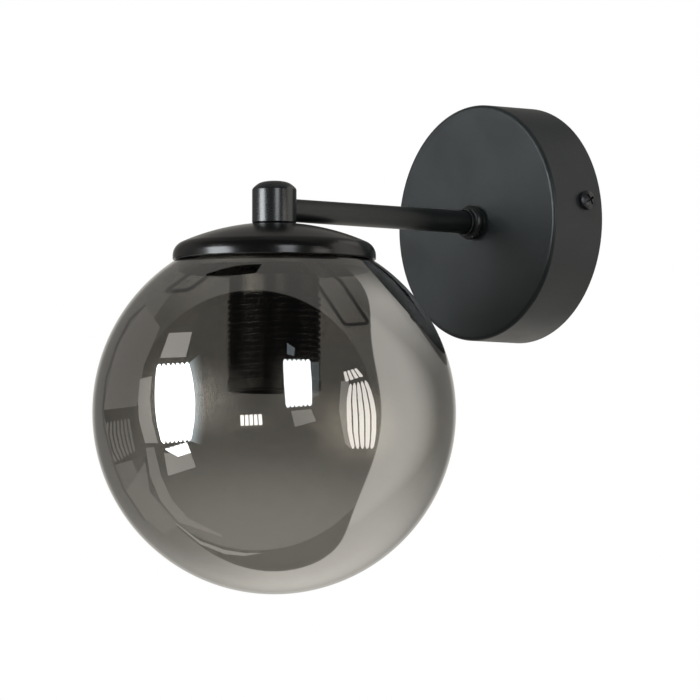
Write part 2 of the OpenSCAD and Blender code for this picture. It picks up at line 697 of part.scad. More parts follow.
module holder_dome() color([0.07, 0.07, 0.07]) on_head(holder_top) {
    outline = [for (p = dome_outline_shares) [p[0] * dome_r, -p[1] * dome_h]];
    bore = nipple_r + thread_gap;
    cave = [for (p = outline) if (p[1] < outline[0][1]) p - [dome_wall, dome_wall / 2]];
    back = [for (i = [len(cave) - 1:-1:0]) cave[i]];
    rotate_extrude() polygon(concat(
        [[bore, 0], [outline[0][0] - neck_edge, 0], [outline[0][0], -neck_edge]],
        outline,
        [[dome_r, outline[4][1] - neck_edge], [dome_r, -dome_h], [dome_r - dome_wall, -dome_h],
            [dome_r - dome_wall, back[0][1] - neck_edge]],
        back,
        [[bore + boss_wall, cave[0][1]], [bore + boss_wall, -neck_bore_h], [bore, -neck_bore_h]]
    ));
}
module holder_skirt() color([0.07, 0.07, 0.07]) on_head() {
    first = dome_foot - thread_start;
    turns = floor((first - holder_foot - skirt_band) / skirt_thread_rise);
    rise = (1 - thread_root_share - thread_crest_share) / 2;
    ribs = [for (i = [0:turns - 1]) let (z = first - i * skirt_thread_rise) each [
        [dome_r, z],
        [skirt_r, z - rise * skirt_thread_rise],
        [skirt_r, z - (rise + thread_crest_share) * skirt_thread_rise],
        [dome_r, z - (1 - thread_root_share) * skirt_thread_rise]
    ]];
    band = holder_foot + skirt_band;
    rotate_extrude() polygon(concat(
        [[spigot_r - spigot_wall, dome_foot + spigot_h], [spigot_r, dome_foot + spigot_h],
            [spigot_r, dome_foot], [dome_r, dome_foot]],
        ribs,
        [[dome_r, band + thread_depth / 2], [skirt_r, band - thread_depth / 2],
            [skirt_r, holder_foot + skirt_edge], [skirt_r - skirt_edge / 2, holder_foot],
            [skirt_in_r, holder_foot], [skirt_in_r, insert_foot - ledge_t],
            [ledge_r, insert_foot - ledge_t], [ledge_r, insert_foot],
            [spigot_r - spigot_wall, insert_foot]]
    ));
}
module holder_insert() color([0.85, 0.84, 0.8]) on_head() difference() {
    translate([0, 0, insert_foot]) cylinder(r = insert_r, h = insert_h);
    at_insert_rivets() translate([0, 0, insert_foot - cut])
        cylinder(r = rivet_pin_r + push_gap, h = insert_h + 2 * cut);
}
module at_insert_rivets() for (p = [[contact_rivet_x, 0], [-shell_rivet_x, 0], [0, shell_rivet_x]])
    translate(p) children();
module insert_rivets() color([0.8, 0.66, 0.3]) on_head() at_insert_rivets() {
    translate([0, 0, insert_foot - shell_wall])
        cylinder(r = rivet_pin_r, h = insert_h + shell_wall);
    translate([0, 0, insert_foot - shell_wall - rivet_foot_h])
        cylinder(r = rivet_foot_r, h = rivet_foot_h);
}
// The E27 screw shell: a rolled thread whose crests are short true bores
module screw_shell() color([0.75, 0.75, 0.72]) on_head(insert_foot) {
    start = -shell_collar;
    flank = shell_flank_share * shell_thread_rise;
    crest = shell_crest_share * shell_thread_rise;
    wave = [for (i = [0:shell_turns - 1]) let (z = start - i * shell_thread_rise) each [
        [shell_major_r, z],
        [shell_minor_r, z - flank],
        [shell_minor_r, z - flank - crest],
        [shell_major_r, z - 2 * flank - crest]
    ]];
    lip = start - shell_turns * shell_thread_rise - shell_lip;
    inner = concat([[shell_major_r, -shell_wall]], wave, [[shell_major_r, lip]]);
    outer = [for (i = [len(inner) - 1:-1:1]) inner[i] + [shell_wall, 0]];
    difference() {
        rotate_extrude() polygon(concat([[shell_flange_r, -shell_wall]], inner, outer,
            [[shell_major_r + shell_wall, 0], [shell_flange_r, 0]]));
        for (p = [[-shell_rivet_x, 0], [0, shell_rivet_x]]) translate(p)
            translate([0, 0, -shell_wall - cut])
                cylinder(r = rivet_pin_r + push_gap, h = shell_wall + 2 * cut);
    }
}
module centre_contact() color([0.8, 0.66, 0.3]) on_head(insert_foot) difference() {
    translate([0, contact_w / 2, 0]) rotate([90, 0, 0]) linear_extrude(contact_w) polygon([
        [contact_end, 0], [contact_knee, 0], [0, -contact_drop], [-contact_tongue, -contact_drop],
        [-contact_tongue, -contact_drop - contact_t], [0, -contact_drop - contact_t],
        [contact_knee, -contact_t], [contact_end, -contact_t]
    ]);
    translate([contact_rivet_x, 0, -contact_t - cut])
        cylinder(r = rivet_pin_r + push_gap, h = contact_t + 2 * cut);
}
module at_lugs() for (side = [-1, 1]) translate([side * lug_x, 0, 0]) children();
module holder_terminals() color([0.8, 0.66, 0.3]) on_head(insert_top) difference() {
    at_lugs() translate([-lug_size[0] / 2, -lug_size[1] / 2, 0]) cube(lug_size);
    at_lugs() translate([-lug_size[0], 0, lug_size[2] / 2]) rotate([0, 90, 0])
        cylinder(r = lead_hole_r, h = 2 * lug_size[0]);
    at_lugs() translate([0, 0, lug_size[2] / 2])
        cylinder(r = lug_screw_r + thread_gap, h = lug_size[2]);
}
module holder_screws() color([0.78, 0.76, 0.7]) on_head(insert_top + lug_size[2])
    at_lugs() slotted_screw(lug_screw_r, lug_head_r, lug_head_h,
        lug_size[2] / 2 - lead_r - push_gap);

module glass_globe() color([0.3, 0.3, 0.3, 0.45]) on_head(globe_z) difference() {
    sphere(r = globe_r, $fn = 128);
    sphere(r = globe_in_r, $fn = 128);
    cylinder(r = mouth_r, h = globe_r + cut);
    translate([-globe_r, -globe_r, globe_top - globe_z]) cube([globe_d, globe_d, globe_r]);
}

canopy_cup();
canopy_screws();
wall_plate();
earth_screw();
earth_lead();
terminal_block();
terminal_barrels();
terminal_screws();
block_screw();
live_lead();
neutral_lead();
arm_tube();
arm_collar();
collar_grub_screw();
arm_lock_washer();
arm_nut();
arm_head();
hollow_nipple();
cap_dome();
cap_lock_washer();
nipple_nuts();
clip_carrier();
clip_clamps();
clip_rivets();
front_clip();
rear_clip();
rim_gasket();
holder_dome();
holder_skirt();
holder_insert();
screw_shell();
centre_contact();
insert_rivets();
holder_terminals();
holder_screws();
earth_tags();
glass_globe();
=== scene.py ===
"""Wall light with a smoked glass globe: looks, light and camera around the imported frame."""

import json
import math

import bpy
from mathutils import Matrix, Vector


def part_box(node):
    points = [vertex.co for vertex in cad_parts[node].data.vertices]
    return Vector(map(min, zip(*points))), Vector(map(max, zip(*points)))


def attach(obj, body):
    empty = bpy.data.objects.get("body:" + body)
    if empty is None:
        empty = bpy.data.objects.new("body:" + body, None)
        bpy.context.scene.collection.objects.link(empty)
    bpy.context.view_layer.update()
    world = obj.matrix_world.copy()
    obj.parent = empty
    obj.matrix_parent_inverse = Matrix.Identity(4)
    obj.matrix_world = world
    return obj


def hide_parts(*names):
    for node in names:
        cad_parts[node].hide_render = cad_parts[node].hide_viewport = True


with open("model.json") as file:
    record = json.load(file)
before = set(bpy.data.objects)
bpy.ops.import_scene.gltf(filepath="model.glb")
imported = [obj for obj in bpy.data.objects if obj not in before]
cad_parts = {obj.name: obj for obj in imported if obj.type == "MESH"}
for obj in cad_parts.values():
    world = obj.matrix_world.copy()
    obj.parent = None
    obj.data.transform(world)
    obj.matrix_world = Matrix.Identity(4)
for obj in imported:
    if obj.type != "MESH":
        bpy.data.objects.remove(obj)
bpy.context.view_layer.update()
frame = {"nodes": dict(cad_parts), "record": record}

# Sizes, in metres, read from the frame
globe_low, globe_high = (Vector(corner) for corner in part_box("glass_globe"))
GLOBE_R = (globe_high.x - globe_low.x) / 2
HEAD_Y = (globe_low.y + globe_high.y) / 2
GLOBE_Z = globe_low.z + GLOBE_R
GLOBE_C = Vector((0, HEAD_Y, GLOBE_Z))
MM = 0.001

# Camera: a long lens, slightly below the globe, its aim shifted off the globe's centre
CAMERA_AZ = math.radians(49.414)
CAMERA_EL = math.radians(-3.415)
CAMERA_DISTANCE = 2.8873
CAMERA_REACH = 50
AIM_RIGHT = 31.27 * MM
AIM_UP = 25.74 * MM
LENS = 360
SENSOR = 36
# Width and height of the picture in pixels
PICTURE = 700

back = Vector((math.sin(CAMERA_AZ) * math.cos(CAMERA_EL),
               -math.cos(CAMERA_AZ) * math.cos(CAMERA_EL), math.sin(CAMERA_EL)))
right = Vector((math.cos(CAMERA_AZ), math.sin(CAMERA_AZ), 0))
up = back.cross(right)
eye = GLOBE_C + back * CAMERA_DISTANCE + right * AIM_RIGHT + up * AIM_UP


def add_camera():
    data = bpy.data.cameras.new("camera")
    data.lens = LENS
    data.sensor_width = SENSOR
    data.clip_end = CAMERA_REACH
    camera = bpy.data.objects.new("camera", data)
    turn = Matrix((right, up, back)).transposed().to_4x4()
    camera.matrix_world = Matrix.Translation(eye) @ turn
    bpy.context.scene.collection.objects.link(camera)
    bpy.context.scene.camera = camera


class Nodes:
    """A short way to write a node tree. An input is named by its name or its place in the node."""

    def __init__(self, tree):
        self.tree = tree
        tree.nodes.clear()

    def add(self, kind, inputs=None, **settings):
        node = self.tree.nodes.new(kind)
        for name, value in settings.items():
            setattr(node, name, value)
        for name, value in (inputs or {}).items():
            socket = node.inputs[name]
            if isinstance(value, bpy.types.NodeSocket):
                self.tree.links.new(value, socket)
            else:
                socket.default_value = value
        return node

    def math(self, operation, *values):
        inputs = dict(enumerate(values))
        return self.add("ShaderNodeMath", inputs, operation=operation).outputs[0]

    def dot(self, a, b):
        node = self.add("ShaderNodeVectorMath", {0: a, 1: b}, operation="DOT_PRODUCT")
        return node.outputs["Value"]

    def band(self, value, start, end, low=0.0, high=1.0):
        """A smooth step from low to high as the value goes from start to end."""
        inputs = {"Value": value, "From Min": start, "From Max": end, "To Min": low, "To Max": high}
        node = self.add("ShaderNodeMapRange", inputs, interpolation_type="SMOOTHSTEP")
        return node.outputs["Result"]

    def mix(self, share, a, b):
        """A mix of two colours: the node's colour inputs are in places 6 and 7, its colour out in 2."""
        return self.add("ShaderNodeMix", {0: share, 6: a, 7: b}, data_type="RGBA").outputs[2]


def rgba(colour):
    return (*colour, 1.0)


WHITE = rgba((1, 1, 1))

# Studio: white behind. What mirrors it meets a dark room about the camera, a dim backdrop behind a
# slanting edge, a bright window on the right that reaches round the head and the foot, a pale floor
# in front, and some white straight behind, which shows only at the very edge of the glass.
# Angles and shares are taken to the camera's right, up and back. A pair of shares is where a level
# starts to change and where it has changed.
ROOM_LIGHT = 0.55
DARK_ROOM = (0.012, 0.0115, 0.011)
PALE = (1.0, 0.967, 0.90)
EDGE_SOFT = 0.01
# The window, its soft corners, and the angles between which its side grows bright
WINDOW_AZ = math.radians(161)
WINDOW_EL = math.radians(-6)
WINDOW_HALF_AZ = math.radians(89)
WINDOW_HALF_EL = math.radians(54)
WINDOW_CORNERS = 4
WINDOW_RIM = (1.03, 0.97)
WINDOW_DIM_AZ = math.radians(132)
WINDOW_FULL_AZ = math.radians(92)
WINDOW_SIDE_LEVEL = 1.0
# Where the window's head and foot grow bright, and how bright
WINDOW_HEAD_RISE = (0.1, 0.7)
WINDOW_HEAD_ACROSS = (0.35, 0.65)
WINDOW_FOOT_RISE = (-0.1, -0.75)
WINDOW_FOOT_ACROSS = (-0.6, 0.1)
WINDOW_END_LEVEL = 0.8
# The backdrop: its slanting front edge, its foot, and how it fades to both sides
BACKDROP_EDGE = 0.13
BACKDROP_SLANT = 0.30
BACKDROP_FOOT = (-0.45, -0.35)
BACKDROP_SHIFT = 0.05
BACKDROP_FADE = (0.35, 0.75)
DIM = 0.19
FADED_DIM = 0.3 * DIM
TOP_RISE = (0.6, 0.9)
TOP_LEVEL = 0.02
# The floor in front, and the white straight behind
FLOOR_EDGE = -0.10
FLOOR_RISE = (-0.3, -0.95)
FLOOR_LEVEL = 0.22
BEHIND_NEAR = (-0.91, -0.99)
BEHIND_LEVEL = 0.3
# The tube lights as the pieces inside the glass mirror them: degrees to the right of the camera
# and above it, half widths and strength
TUBE_LIGHTS = [(-58, 8, 46, 26, 22.0), (16, 18, 22, 24, 8.0)]
# A ray counts as having bounced from one bounce on
BOUNCED_ONCE = 0.5


def add_world():
    world = bpy.data.worlds.new("studio")
    world.use_nodes = True
    bpy.context.scene.world = world
    t = Nodes(world.node_tree)
    way = t.add("ShaderNodeTexCoord").outputs["Generated"]
    across = t.dot(way, right)
    rise = t.dot(way, up)
    near = t.dot(way, back)
    slant = t.math("MULTIPLY", across, BACKDROP_SLANT)
    nearer = t.math("SUBTRACT", near, slant)

    # The bright window
    round_az = t.math("ARCTAN2", across, near)
    up_el = t.math("ARCSINE", rise)
    turned = t.math("SUBTRACT", round_az, WINDOW_AZ)
    turned = t.math("WRAP", turned, math.pi, -math.pi)
    raised = t.math("SUBTRACT", up_el, WINDOW_EL)
    wide = t.math("ABSOLUTE", t.math("DIVIDE", turned, WINDOW_HALF_AZ))
    high = t.math("ABSOLUTE", t.math("DIVIDE", raised, WINDOW_HALF_EL))
    reach = t.math("ADD", t.math("POWER", wide, WINDOW_CORNERS), t.math("POWER", high, WINDOW_CORNERS))
    window = t.band(reach, *WINDOW_RIM)
    side = t.band(turned, WINDOW_DIM_AZ - WINDOW_AZ, WINDOW_FULL_AZ - WINDOW_AZ)
    head = t.math("MULTIPLY", t.band(rise, *WINDOW_HEAD_RISE), t.band(across, *WINDOW_HEAD_ACROSS))
    foot = t.math("MULTIPLY", t.band(rise, *WINDOW_FOOT_RISE), t.band(across, *WINDOW_FOOT_ACROSS))
    ends = t.math("MULTIPLY", t.math("MAXIMUM", head, foot), WINDOW_END_LEVEL)
    bright = t.math("MAXIMUM", t.math("MULTIPLY", side, WINDOW_SIDE_LEVEL), ends)
    bright = t.math("MULTIPLY", bright, window)

    # The dim backdrop, with a little light at its top
    behind = t.band(nearer, BACKDROP_EDGE + EDGE_SOFT, BACKDROP_EDGE - EDGE_SOFT)
    behind = t.math("MULTIPLY", behind, t.band(rise, *BACKDROP_FOOT))
    top = t.math("MULTIPLY", t.band(rise, *TOP_RISE, 0.0, TOP_LEVEL), behind)
    aside = t.math("ABSOLUTE", t.math("ADD", across, BACKDROP_SHIFT))
    behind = t.math("MULTIPLY", behind, t.band(aside, *BACKDROP_FADE, DIM, FADED_DIM))
    dim = t.math("MAXIMUM", behind, t.math("MULTIPLY", window, DIM))
    level = t.math("ADD", t.math("ADD", bright, top), dim)

    # The white straight behind, and the floor where the window isn't
    level = t.math("ADD", level, t.band(near, *BEHIND_NEAR, 0.0, BEHIND_LEVEL))
    ground = t.band(rise, *FLOOR_RISE, 0.0, FLOOR_LEVEL)
    ground = t.math("MULTIPLY", ground, t.band(nearer, FLOOR_EDGE - EDGE_SOFT, FLOOR_EDGE + EDGE_SOFT))
    level = t.math("ADD", level, t.math("MULTIPLY", ground, t.math("SUBTRACT", 1, window)))

    # The tube lights, only for what lies inside the glass
    path = t.add("ShaderNodeLightPath").outputs
    for az, el, half_az, half_el, strength in TUBE_LIGHTS:
        aside = t.math("ABSOLUTE", t.math("SUBTRACT", round_az, math.radians(az)))
        above = t.math("ABSOLUTE", t.math("SUBTRACT", up_el, math.radians(el)))
        lit = t.band(aside, math.radians(half_az), 0.0)
        high = t.band(above, math.radians(half_el), 0.0)
        tubes = t.math("MULTIPLY", t.math("MULTIPLY", lit, high), strength)
        level = t.math("ADD", level, t.math("MULTIPLY", tubes, path["Is Transmission Ray"]))
    pale = t.add("ShaderNodeVectorMath", {0: PALE, "Scale": level}, operation="SCALE").outputs[0]
    seen = t.add("ShaderNodeVectorMath", {0: pale, 1: DARK_ROOM}, operation="ADD").outputs[0]

    # Plain light for what is lit, the studio for what mirrors it, and white for what looks past it
    soft = t.add("ShaderNodeBackground", {"Color": WHITE, "Strength": ROOM_LIGHT})
    mirrored_room = t.add("ShaderNodeBackground", {"Color": seen, "Strength": 1.0})
    white = t.add("ShaderNodeBackground", {"Color": WHITE, "Strength": 1.0})
    bounced = t.math("GREATER_THAN", path["Glossy Depth"], BOUNCED_ONCE)
    spread = t.math("GREATER_THAN", path["Diffuse Depth"], BOUNCED_ONCE)
    shiny = t.add("ShaderNodeMixShader", {0: bounced, 1: soft.outputs[0], 2: mirrored_room.outputs[0]})
    straight = t.math("SUBTRACT", path["Is Transmission Ray"], t.math("MAXIMUM", bounced, spread))
    clear = t.math("MAXIMUM", path["Is Camera Ray"], straight)
    seen_white = t.add("ShaderNodeMixShader", {0: clear, 1: shiny.outputs[0], 2: white.outputs[0]})
    t.add("ShaderNodeOutputWorld", {"Surface": seen_white.outputs[0]})


# A pale floor, far enough down that a look from below doesn't meet it
FLOOR_Z = -3.2
FLOOR_HALF = 14.0
FLOOR_COLOUR = (0.95, 0.95, 0.94)


def add_floor():
    mesh = bpy.data.meshes.new("floor")
    corners = [(-FLOOR_HALF, -FLOOR_HALF, FLOOR_Z), (FLOOR_HALF, -FLOOR_HALF, FLOOR_Z),
               (FLOOR_HALF, FLOOR_HALF, FLOOR_Z), (-FLOOR_HALF, FLOOR_HALF, FLOOR_Z)]
    mesh.from_pydata(corners, [], [(0, 1, 2, 3)])
    floor = bpy.data.objects.new("floor", mesh)
    bpy.context.scene.collection.objects.link(floor)
    material = bpy.data.materials.new("floor")
    material.use_nodes = True
    t = Nodes(material.node_tree)
    pale = t.add("ShaderNodeBsdfDiffuse", {"Color": rgba(FLOOR_COLOUR)})
    t.add("ShaderNodeOutputMaterial", {"Surface": pale.outputs[0]})
    mesh.materials.append(material)
    floor.visible_glossy = False
    floor.visible_transmission = False


# Lamps: degrees to the right of the camera and above it, distance, width and height in metres, watts
LAMPS = {
    "key_left": (-74, 5, 3.2, 1.6, 1.6, 40),
    "fill_right": (62, 6, 2.6, 0.8, 1.2, 5),
    "top": (20, 75, 2.4, 1.2, 1.2, 24),
}


def add_lamp(name, az, el, distance, width, height, watts):
    data = bpy.data.lights.new(name, "AREA")
    data.shape = "RECTANGLE"
    data.size = width
    data.size_y = height
    data.energy = watts
    lamp = bpy.data.objects.new(name, data)
    bpy.context.scene.collection.objects.link(lamp)
    az, el = math.radians(az), math.radians(el)
    flat = right * math.sin(az) * math.cos(el) + back * math.cos(az) * math.cos(el)
    place = GLOBE_C + (flat + up * math.sin(el)) * distance
    turn = (GLOBE_C - place).normalized().to_track_quat("-Z", "Y").to_matrix().to_4x4()
    lamp.matrix_world = Matrix.Translation(place) @ turn
    lamp.visible_glossy = False
    lamp.visible_transmission = False


# Finishes: every one has fine grain of its own size, over broad soft patches
FINE_SHARE = 0.6
FINE_DETAIL = 3.0
FINE_ROUGHNESS = 0.6
BROAD_SHARE = 0.4
BROAD_SCALE = 45.0
BROAD_DETAIL = 2.0
NOISE_RANGE = (0.3, 0.7)
RELIEF_SHARE = 0.3


def finish(name, colour, rough, metal=0.0, grain=0.4, tint=0.12, spread=0.08, bump=0.15, specular=0.5):
    """A surface with grain of a given size in millimetres.

    The colour varies by the share in tint, and the roughness by spread."""
    material = bpy.data.materials.new(name)
    material.use_nodes = True
    t = Nodes(material.node_tree)
    place = t.add("ShaderNodeTexCoord").outputs["Object"]
    fine = t.add("ShaderNodeTexNoise", {"Vector": place, "Scale": 1 / (grain * MM), "Detail": FINE_DETAIL,
                                        "Roughness": FINE_ROUGHNESS}).outputs["Fac"]
    broad = t.add("ShaderNodeTexNoise", {"Vector": place, "Scale": BROAD_SCALE,
                                         "Detail": BROAD_DETAIL}).outputs["Fac"]
    both = t.math("ADD", t.math("MULTIPLY", fine, FINE_SHARE), t.math("MULTIPLY", broad, BROAD_SHARE))
    low = rgba([c * (1 - tint) for c in colour])
    high = rgba([min(1, c * (1 + tint)) for c in colour])
    base = t.mix(t.band(both, *NOISE_RANGE), low, high)
    rougher = t.band(both, *NOISE_RANGE, rough - spread, rough + spread)
    relief = t.add("ShaderNodeBump", {"Height": fine, "Strength": bump,
                                      "Distance": grain * MM * RELIEF_SHARE})
    shader = t.add("ShaderNodeBsdfPrincipled", {
        "Base Color": base, "Roughness": rougher, "Metallic": metal, "Specular IOR Level": specular,
        "Normal": relief.outputs["Normal"]})
    t.add("ShaderNodeOutputMaterial", {"Surface": shader.outputs[0]})
    return material


# Smoked glass: its tint is darkest at the top and lighter towards the foot. Its faint waves, from
# blowing, bend the surface and blur where the tint changes.
SMOKE_TOP = (0.295, 0.2855, 0.265)
SMOKE_FOOT = (0.500, 0.484, 0.449)
SMOKE_FROM = GLOBE_Z + 0.35 * GLOBE_R
SMOKE_TO = GLOBE_Z - 0.95 * GLOBE_R
SMOKE_DRIFT = 2 * MM
WAVE_SCALE = 22.0
WAVE_DETAIL = 1.0
WAVE_STRENGTH = 0.06
WAVE_DEPTH = 1.5 * MM
GLASS_IOR = 1.45
GLASS_MIRROR_IOR = 2.5


def smoked_glass(name, mirror):
    """Smoked glass, with or without a part-mirror coat."""
    material = bpy.data.materials.new(name)
    material.use_nodes = True
    t = Nodes(material.node_tree)
    place = t.add("ShaderNodeTexCoord").outputs["Object"]
    waves = t.add("ShaderNodeTexNoise", {"Vector": place, "Scale": WAVE_SCALE,
                                         "Detail": WAVE_DETAIL}).outputs["Fac"]
    relief = t.add("ShaderNodeBump", {"Height": waves, "Strength": WAVE_STRENGTH,
                                      "Distance": WAVE_DEPTH})
    height = t.add("ShaderNodeSeparateXYZ", {"Vector": place}).outputs["Z"]
    height = t.math("ADD", height, t.band(waves, *NOISE_RANGE, -SMOKE_DRIFT, SMOKE_DRIFT))
    tint = t.mix(t.band(height, SMOKE_FROM, SMOKE_TO), rgba(SMOKE_TOP), rgba(SMOKE_FOOT))
    shader = t.add("ShaderNodeBsdfPrincipled", {
        "Base Color": tint, "Roughness": 0.0, "Transmission Weight": 1.0, "IOR": GLASS_IOR,
        "Coat Weight": mirror, "Coat Roughness": 0.0, "Coat IOR": GLASS_MIRROR_IOR,
        "Normal": relief.outputs["Normal"]})
    t.add("ShaderNodeOutputMaterial", {"Surface": shader.outputs[0]})
    return material


FINISHES = {
    "canopy_paint": dict(colour=(0.012, 0.0155, 0.0165), rough=0.38, grain=0.45, bump=0.45,
                         specular=0.36),
    "arm_paint": dict(colour=(0.008, 0.010, 0.010), rough=0.34, grain=0.4, bump=0.15, specular=0.4),
    "head_black": dict(colour=(0.010, 0.012, 0.013), rough=0.26, grain=0.4, bump=0.01, spread=0.03,
                       specular=0.6),
    "cap_black": dict(colour=(0.005, 0.005, 0.005), rough=0.22, grain=0.5, bump=0.01, spread=0.03,
                      specular=0.4),
    "screw_black": dict(colour=(0.045, 0.047, 0.05), rough=0.32, metal=0.8, grain=0.2),
    "zinc": dict(colour=(0.60, 0.61, 0.63), rough=0.34, metal=1.0, grain=0.5, tint=0.08, bump=0.04),
    "spring_wire": dict(colour=(0.10, 0.10, 0.105), rough=0.16, metal=1.0, grain=0.2, bump=0.05,
                        spread=0.03),
    "carrier_steel": dict(colour=(0.28, 0.28, 0.28), rough=0.38, metal=0.4, grain=0.5),
    "brass": dict(colour=(0.72, 0.53, 0.26), rough=0.3, metal=1.0, grain=0.3),
    "block_plastic": dict(colour=(0.82, 0.82, 0.79), rough=0.45, grain=0.4, tint=0.03),
    "holder_plastic": dict(colour=(0.008, 0.008, 0.008), rough=0.16, grain=0.35, bump=0.02,
                           spread=0.03, specular=1.0),
    "holder_band": dict(colour=(0.008, 0.008, 0.008), rough=0.30, grain=0.35, bump=0.05, specular=0.35),
    "insert_ceramic": dict(colour=(0.80, 0.78, 0.73), rough=0.7, grain=0.25, bump=0.4, tint=0.04),
    "gasket_rubber": dict(colour=(0.03, 0.03, 0.03), rough=0.7, grain=0.3, bump=0.3),
    "brown_sheath": dict(colour=(0.16, 0.07, 0.035), rough=0.38, grain=0.5, tint=0.05),
    "blue_sheath": dict(colour=(0.03, 0.11, 0.38), rough=0.38, grain=0.5, tint=0.05),
    "green_sheath": dict(colour=(0.18, 0.38, 0.06), rough=0.38, grain=0.5, tint=0.05),
}
made = {name: finish(name, **values) for name, values in FINISHES.items()}
made["smoked_glass"] = smoked_glass("smoked_glass", 1.0)
glass_inside = smoked_glass("smoked_glass_inside", 0.0)
slot_of = {part["node"]: part["material_slot"] for part in frame["record"]["subparts"]}


def dress(obj, slot):
    obj.data.materials.clear()
    obj.data.materials.append(made[slot])


for node_name, node_object in frame["nodes"].items():
    dress(node_object, slot_of[node_name])


# New pieces
SMOOTH_ANGLE = math.radians(32)


def add_piece(name, points, faces, slot, body, replaced):
    mesh = bpy.data.meshes.new(name)
    mesh.from_pydata(points, [], faces)
    mesh.validate()
    mesh.shade_smooth()
    mesh.set_sharp_from_angle(angle=SMOOTH_ANGLE)
    obj = bpy.data.objects.new(name, mesh)
    bpy.context.scene.collection.objects.link(obj)
    dress(obj, slot)
    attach(obj, body)
    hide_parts(replaced)
    return obj


def spin(profile, sides, centre):
    """Points and faces of a (radius, height) profile turned about an upright axis.

    The profile starts and ends on the axis, and each end becomes a single point."""
    ring = profile[1:-1]
    rows = len(ring)
    points, faces = [], []
    for step in range(sides):
        a = 2 * math.pi * step / sides
        points += [(centre[0] + r * math.cos(a), centre[1] + r * math.sin(a), centre[2] + z)
                   for r, z in ring]
    first, last = len(points), len(points) + 1
    points += [(centre[0], centre[1], centre[2] + z) for z in (profile[0][1], profile[-1][1])]
    for step in range(sides):
        a, b = step * rows, (step + 1) % sides * rows
        faces += [(a + row, b + row, b + row + 1, a + row + 1) for row in range(rows - 1)]
    for step in range(sides):
        a, b = step * rows, (step + 1) % sides * rows
        faces += [(first, b, a), (last, a + rows - 1, b + rows - 1)]
    return points, faces


# Glass globe: one smooth wall, fire-polished at the mouth
GLASS_T = 2.2 * MM
MOUTH_R = 40 * MM
LIP_R = 0.25 * MM
GLOBE_ROWS = 110
GLOBE_SIDES = 256


def add_globe():
    top = globe_high.z - GLOBE_Z
    inner_r = GLOBE_R - GLASS_T
    outer_end = math.asin(top / GLOBE_R)
    inner_end = math.acos(MOUTH_R / inner_r)
    base = -math.pi / 2

    def wall(r, end):
        turns = [base + (end - base) * i / GLOBE_ROWS for i in range(1, GLOBE_ROWS + 1)]
        return [(0, -r)] + [(r * math.cos(a), r * math.sin(a)) for a in turns]

    land = [(MOUTH_R + LIP_R, top), (MOUTH_R, top - LIP_R)]
    profile = wall(GLOBE_R, outer_end) + land + wall(inner_r, inner_end)[::-1]
    points, faces = spin(profile, GLOBE_SIDES, GLOBE_C)
    globe = add_piece("globe_glass", points, faces, "smoked_glass", "globe", "glass_globe")
    globe.data.materials.append(glass_inside)
    halfway = GLOBE_R - GLASS_T / 2
    for face in globe.data.polygons:
        face.material_index = int((face.center - GLOBE_C).length < halfway)


# Lampholder skirt: a real helical thread over a smooth collar. The thread runs out below the
# skirt's top over a share of its pitch.
THREAD_PITCH = 2.45 * MM
THREAD_DEPTH = 1.2 * MM
# One gives wide round crests over sharp grooves, two a plain wave
CREST_ROUND = 1.15
THREAD_TOP = 0.6 * MM
THREAD_END_SHARE = 0.6
THREAD_STEPS = 12
SKIRT_BAND = 4.5 * MM
SKIRT_BORE_R = 16.9 * MM
SKIRT_SIDES = 144
# Height and depth of the soft edge at the foot, and height of the slope over the band
FOOT_EDGE_H = 0.8 * MM
FOOT_EDGE_IN = 0.5 * MM
BAND_SLOPE = 0.7 * MM


def add_skirt():
    low, high = (Vector(corner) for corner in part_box("holder_skirt"))
    crest = (high.x - low.x) / 2
    root = crest - THREAD_DEPTH
    dome_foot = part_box("holder_dome")[0][2]
    height = dome_foot - low.z
    rows = int(height / THREAD_PITCH * THREAD_STEPS)
    points, faces = [], []
    for step in range(SKIRT_SIDES):
        turn = step / SKIRT_SIDES
        a = 2 * math.pi * turn
        column = [(SKIRT_BORE_R, height), (SKIRT_BORE_R, 0), (crest - FOOT_EDGE_IN, 0)]
        for row in range(rows + 1):
            z = FOOT_EDGE_H + (height - FOOT_EDGE_H) * row / rows
            wave = abs(math.sin(math.pi * (z / THREAD_PITCH - turn))) ** CREST_ROUND
            fade = min(1, max(0, (height - THREAD_TOP - z) / (THREAD_END_SHARE * THREAD_PITCH)))
            r = root + THREAD_DEPTH * wave * fade
            if z < SKIRT_BAND:
                r = crest
            elif z < SKIRT_BAND + BAND_SLOPE:
                r = max(r, crest - THREAD_DEPTH * (z - SKIRT_BAND) / BAND_SLOPE)
            column.append((r, z))
        points += [(r * math.cos(a), HEAD_Y + r * math.sin(a), low.z + z) for r, z in column]
    count = len(column)
    for step in range(SKIRT_SIDES):
        a, b = step * count, (step + 1) % SKIRT_SIDES * count
        for row in range(count):
            after = (row + 1) % count
            faces.append((a + row, b + row, b + after, a + after))
    skirt = add_piece("holder_thread", points, faces, "holder_plastic", "fixture", "holder_skirt")
    skirt.data.materials.append(made["holder_band"])
    for face in skirt.data.polygons:
        face.material_index = int(face.center.z - low.z < SKIRT_BAND)


# Arm head: a turned cylinder with a soft crown, bored from below for the nipple
HEAD_BORE_R = 5.05 * MM
HEAD_WELL = 11.5 * MM
HEAD_FOOT_SOFT = 0.4 * MM
HEAD_SIDES = 128
# The crown, as radius and depth below its top in millimetres, from the side to the top
CROWN = [(9.2, 3.9), (9.1, 3.45), (8.8, 3.0), (8.1, 2.3), (7.3, 1.65), (6.5, 1.1), (5.6, 0.7),
         (4.5, 0.4), (3.0, 0.15), (1.5, 0.04)]


